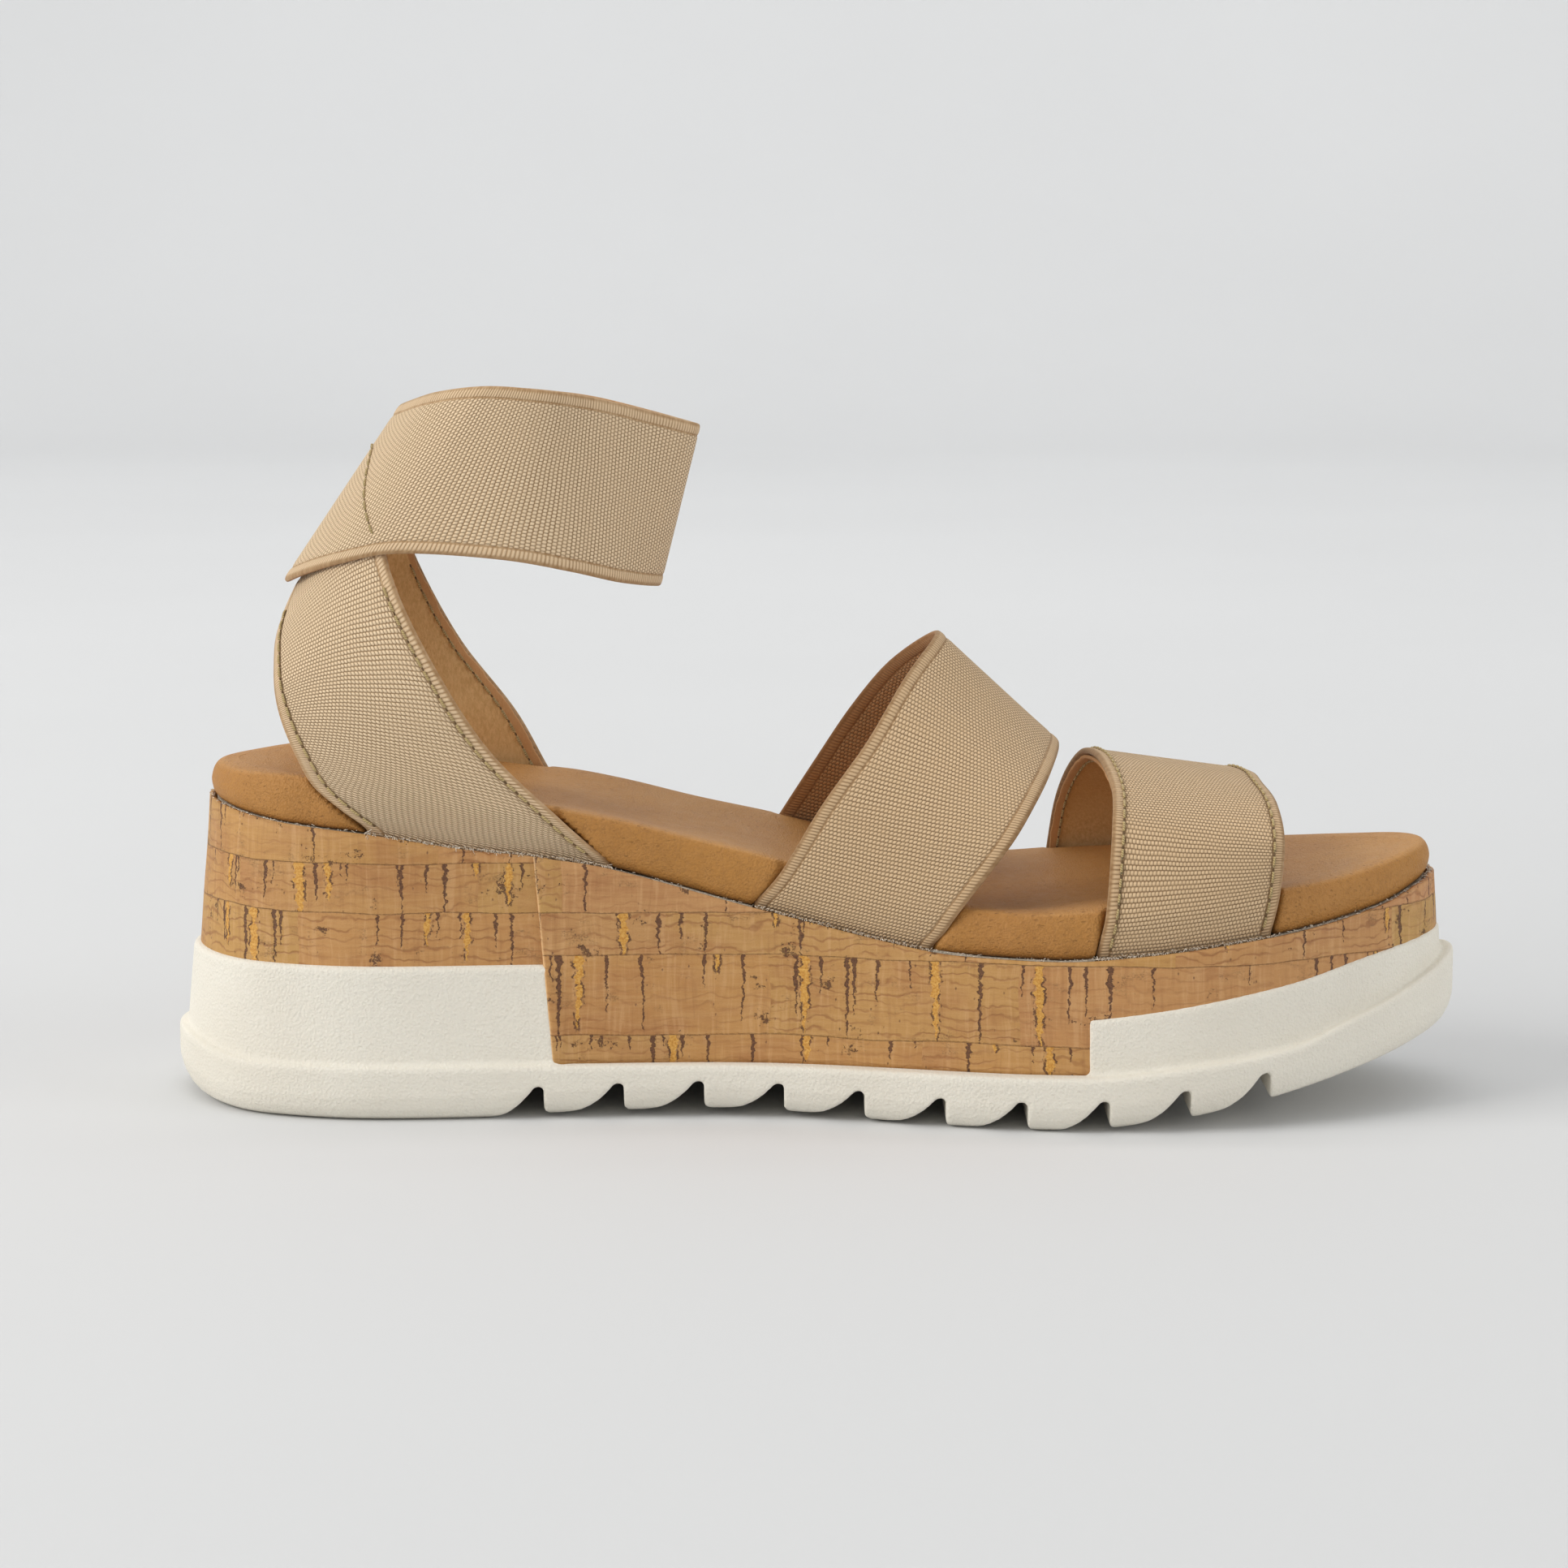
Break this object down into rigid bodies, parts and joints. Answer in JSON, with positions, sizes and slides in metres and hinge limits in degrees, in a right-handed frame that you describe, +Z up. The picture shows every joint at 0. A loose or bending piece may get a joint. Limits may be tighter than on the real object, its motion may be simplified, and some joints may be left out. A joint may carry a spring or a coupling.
{
  "type": "wedge sandal",
  "caption": "Left wedge sandal with a padded leather footbed on a cork-wrapped wedge, a white moulded sole, elastic toe and instep straps, and an elastic ankle loop.",
  "frame": {"origin": "on the ground, under the middle of the sandal's bounding box", "axes": "+X towards the toe, +Y towards the outer side of the foot, +Z up"},
  "size_m": [0.2686, 0.1008, 0.1484],
  "materials": {
    "eva": "matt off-white moulded foam, faintly grained",
    "wedge_foam": "dull moulded foam, unseen",
    "cork": "natural cork sheet with dark pores and golden flecks, satin",
    "board": "pressed fibre board, unseen",
    "pad_foam": "soft open foam, unseen",
    "footbed_leather": "tan smooth leather, soft sheen",
    "elastic": "beige ribbed woven elastic",
    "strap_lining": "tan suede, napped",
    "thread": "olive-beige twisted thread"
  },
  "bodies": {
    "sandal": {"outsole": "eva", "wedge_core": "wedge_foam", "cork_wrap_heel": "cork", "cork_wrap_front": "cork", "insole_board": "board", "footbed_foam": "pad_foam", "footbed_cover": "footbed_leather", "toe_strap_elastic": "elastic", "toe_strap_lining": "strap_lining", "toe_strap_thread_rear": "thread", "toe_strap_thread_front": "thread", "vamp_strap_elastic": "elastic", "heel_strap_elastic": "elastic", "heel_strap_lining": "strap_lining", "heel_strap_thread_lower_inner": "thread", "heel_strap_thread_upper_inner": "thread", "heel_strap_thread_lower_outer": "thread", "heel_strap_thread_upper_outer": "thread", "ankle_band_back": "elastic", "ankle_band_thread": "thread"},
    "ankle_loop": {"ankle_band_loop": "elastic"}
  },
  "joints": [
    {"name": "ankle_loop_swing", "type": "hinge", "parent": "sandal", "child": "ankle_loop", "pos_m": [-0.084, 0, 0.113], "axis": [0, 1, 0], "range_deg": [-10, 20], "stiffness_Nm_per_rad": 0.1}
  ]
}
